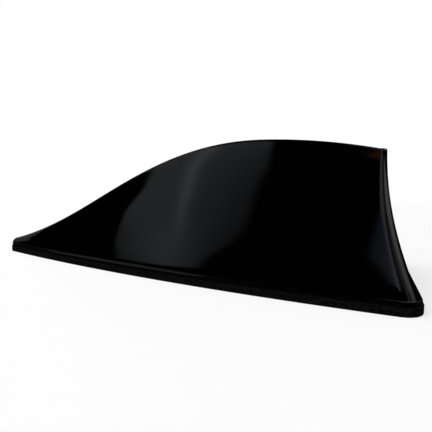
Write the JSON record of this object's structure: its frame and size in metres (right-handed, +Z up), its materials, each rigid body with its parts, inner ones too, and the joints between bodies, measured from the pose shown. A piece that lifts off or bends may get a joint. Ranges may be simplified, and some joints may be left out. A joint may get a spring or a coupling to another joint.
{
  "type": "shark fin aerial",
  "caption": "Gloss black shark fin roof aerial on a rubber seal, hollow, with its amplifier board, loading coil and folded receiving element inside.",
  "frame": {"origin": "Centre of the underside, on the roof surface, halfway between nose and tail.", "axes": "+X from the nose to the tail, +Y across the fin to its right-hand side seen from the tail, +Z up from the roof."},
  "size_m": [0.17, 0.0654, 0.0483],
  "materials": {
    "gloss_black": "polished, piano black",
    "seal_rubber": "matt, finely grained",
    "foam_tape": "matt, open foam",
    "moulded_black": "eroded mould texture",
    "screw_steel": "zinc plated",
    "board_green": "solder resist",
    "tinned_sheet": "bright tin",
    "former_white": "moulded",
    "coil_copper": "enamelled wire",
    "chip_black": "moulded epoxy",
    "ferrite_grey": "sintered",
    "ceramic_tan": "fired ceramic"
  },
  "bodies": {
    "root": {"fin_cover": "gloss_black", "base_seal": "seal_rubber", "adhesive_pad": "foam_tape", "base_plate": "moulded_black", "cover_screws": "screw_steel", "circuit_board": "board_green", "board_screws": "screw_steel", "element_holder": "moulded_black", "holder_screws": "screw_steel", "capacity_plate": "tinned_sheet", "coil_former": "former_white", "loading_coil": "coil_copper", "coil_clip": "tinned_sheet", "amplifier_can": "tinned_sheet", "amplifier_chip": "chip_black", "filter_coils": "ferrite_grey", "filter_capacitors": "ceramic_tan", "lead_terminal": "tinned_sheet", "lead_grommet": "seal_rubber"}
  },
  "joints": []
}
